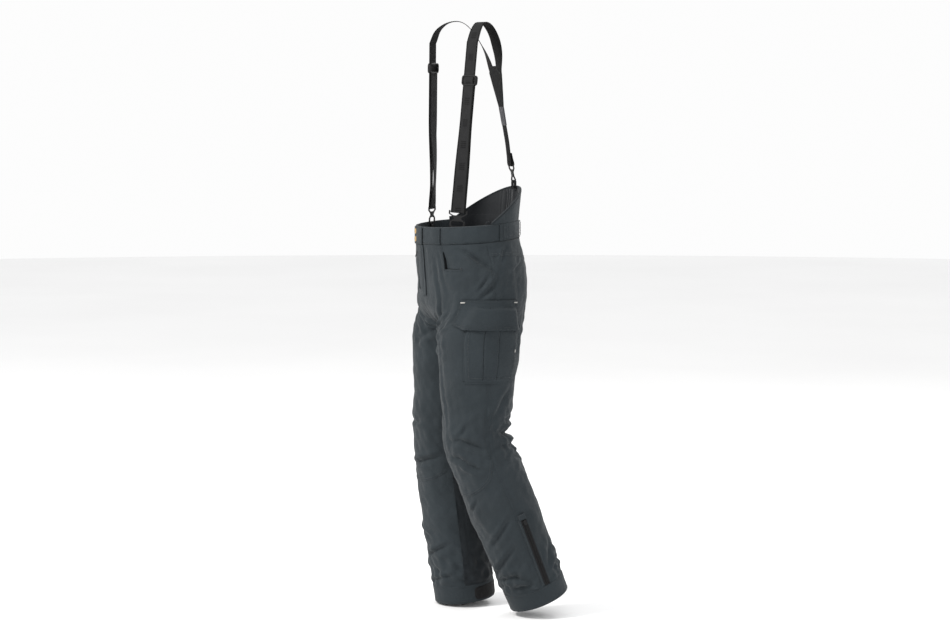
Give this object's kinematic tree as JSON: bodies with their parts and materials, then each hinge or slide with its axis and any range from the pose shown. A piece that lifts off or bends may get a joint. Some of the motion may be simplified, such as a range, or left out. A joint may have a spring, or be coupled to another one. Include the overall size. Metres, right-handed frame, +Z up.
{
  "type": "ski pants",
  "caption": "Insulated ski pants with raised back, cargo pockets, side-zip legs with snow gaiters, and detachable Y-back suspenders.",
  "frame": {"origin": "middle of the waist opening, level with the top of the waistband at the sides", "axes": "+Z up out of the waist, -Y towards the wearer's front, +X towards the wearer's left"},
  "size_m": [0.4492, 0.3896, 1.5951],
  "materials": {
    "shell": "dark slate-grey softshell, matt fine weave",
    "guard": "darker hard-wearing scuff fabric",
    "lining": "dark soft lining and gaiter fabric",
    "webbing": "dark grey woven webbing with black edges",
    "elastic": "black elastic, tape and coated patches",
    "plastic": "black moulded plastic",
    "brass": "brushed brass snap"
  },
  "bodies": {
    "trunk": {"waistband_left": "shell", "waistband_right": "shell", "waistband_back": "shell", "back_yoke": "shell", "hip_front_left": "shell", "hip_front_right": "shell", "seat_left": "shell", "seat_right": "shell", "pocket_bag_left": "lining", "pocket_bag_right": "lining", "hook_tab_left": "webbing", "hook_tab_right": "webbing", "back_tab": "webbing", "fly_zip": "elastic", "snap_stud_upper": "brass", "snap_stud_lower": "brass"},
    "fly_cover": {"waist_tab": "shell", "fly_placket": "shell", "snap_cap_upper": "brass", "snap_cap_lower": "brass"},
    "fly_slider": {"fly_slider": "plastic"},
    "fly_pull": {"fly_pull": "plastic"},
    "back_hook": {"back_hook": "plastic"},
    "suspenders": {"strap_left": "webbing", "strap_right": "webbing", "suspender_yoke": "elastic", "yoke_patch": "webbing", "back_elastic": "elastic"},
    "thigh_left": {"thigh_front_left": "shell", "thigh_back_left": "shell", "cargo_pocket_left": "shell", "knee_section_left": "shell"},
    "cargo_flap_left": {"cargo_flap_left": "shell"},
    "shin_left": {"shin_front_left": "shell", "shin_back_left": "shell", "inner_guard_left": "guard", "hem_cuff_left": "shell", "hem_patch_left": "elastic", "snow_gaiter_left": "lining", "side_zip_left": "elastic"},
    "side_slider_left": {"side_slider_left": "plastic"},
    "adjuster_left": {"adjuster_left": "plastic"},
    "front_hook_left": {"front_hook_left": "plastic"},
    "thigh_right": {"thigh_front_right": "shell", "thigh_back_right": "shell", "cargo_pocket_right": "shell", "knee_section_right": "shell"},
    "cargo_flap_right": {"cargo_flap_right": "shell"},
    "shin_right": {"shin_front_right": "shell", "shin_back_right": "shell", "inner_guard_right": "guard", "hem_cuff_right": "shell", "hem_patch_right": "elastic", "snow_gaiter_right": "lining", "side_zip_right": "elastic"},
    "side_slider_right": {"side_slider_right": "plastic"},
    "adjuster_right": {"adjuster_right": "plastic"},
    "front_hook_right": {"front_hook_right": "plastic"}
  },
  "joints": [
    {"name": "hip_left", "type": "hinge", "parent": "trunk", "child": "thigh_left", "pos_m": [0, 0, -0.185], "axis": [-1, 0, 0], "range_deg": [-20, 45], "deforming": ["hip_front_left", "seat_left", "pocket_bag_left"]},
    {"name": "knee_left", "type": "hinge", "parent": "thigh_left", "child": "shin_left", "pos_m": [0, -0.00681, -0.57494], "axis": [1, 0, 0], "range_deg": [-23, 60], "deforming": ["knee_section_left"]},
    {"name": "cargo_flap_left_lift", "type": "hinge", "parent": "thigh_left", "child": "cargo_flap_left", "pos_m": [0.2026, 0.0162, -0.1926], "axis": [0, -0.9998, 0.0174], "range_deg": [0, 90]},
    {"name": "side_zip_left_slide", "type": "slide", "parent": "shin_left", "child": "side_slider_left", "axis": [-0.0226, 0.3674, -0.9298], "range_m": [0, 0.165]},
    {"name": "hip_right", "type": "hinge", "parent": "trunk", "child": "thigh_right", "pos_m": [0, 0, -0.185], "axis": [-1, 0, 0], "range_deg": [-20, 45], "deforming": ["hip_front_right", "seat_right", "pocket_bag_right"]},
    {"name": "knee_right", "type": "hinge", "parent": "thigh_right", "child": "shin_right", "pos_m": [0, -0.02721, -0.57405], "axis": [1, 0, 0], "range_deg": [-11, 72], "deforming": ["knee_section_right"]},
    {"name": "cargo_flap_right_lift", "type": "hinge", "parent": "thigh_right", "child": "cargo_flap_right", "pos_m": [-0.2026, 0.0152, -0.1935], "axis": [0, 0.9976, -0.0698], "range_deg": [0, 90]},
    {"name": "side_zip_right_slide", "type": "slide", "parent": "shin_right", "child": "side_slider_right", "axis": [0.0226, 0.1142, -0.9932], "range_m": [0, 0.165]},
    {"name": "fly_cover_open", "type": "hinge", "parent": "trunk", "child": "fly_cover", "pos_m": [0.033, -0.1242, -0.19], "axis": [0, -0.0672, 0.9977], "range_deg": [0, 120]},
    {"name": "fly_zip_slide", "type": "slide", "parent": "trunk", "child": "fly_slider", "axis": [0, 0.072, -0.9974], "range_m": [0, 0.095]},
    {"name": "fly_pull_swing", "type": "hinge", "parent": "fly_slider", "child": "fly_pull", "pos_m": [-0.019, -0.12871, -0.06866], "axis": [-1, 0, 0], "range_deg": [-22, 70]},
    {"name": "back_hook_swing", "type": "hinge", "parent": "trunk", "child": "back_hook", "pos_m": [0, 0.1345, 0.1072], "axis": [-1, 0, 0], "range_deg": [0, 130]},
    {"name": "suspenders_swing", "type": "hinge", "parent": "back_hook", "child": "suspenders", "pos_m": [0, 0.12633, 0.15357], "axis": [-1, 0, 0], "range_deg": [0, 60]},
    {"name": "front_hook_left_swing", "type": "hinge", "parent": "suspenders", "child": "front_hook_left", "pos_m": [0.122, -0.062, 0.034], "axis": [0.4734, 0.8778, -0.0735], "range_deg": [0, 60]},
    {"name": "adjuster_left_slide", "type": "slide", "parent": "suspenders", "child": "adjuster_left", "axis": [-0.0357, 0.1025, 0.9941], "range_m": [-0.06, 0.07]},
    {"name": "front_hook_right_swing", "type": "hinge", "parent": "suspenders", "child": "front_hook_right", "pos_m": [-0.12, -0.06, 0.034], "axis": [0.7878, -0.6158, -0.0131], "range_deg": [0, 60]},
    {"name": "adjuster_right_slide", "type": "slide", "parent": "suspenders", "child": "adjuster_right", "axis": [0.0202, 0.0045, 0.9998], "range_m": [-0.085, 0.04]}
  ]
}
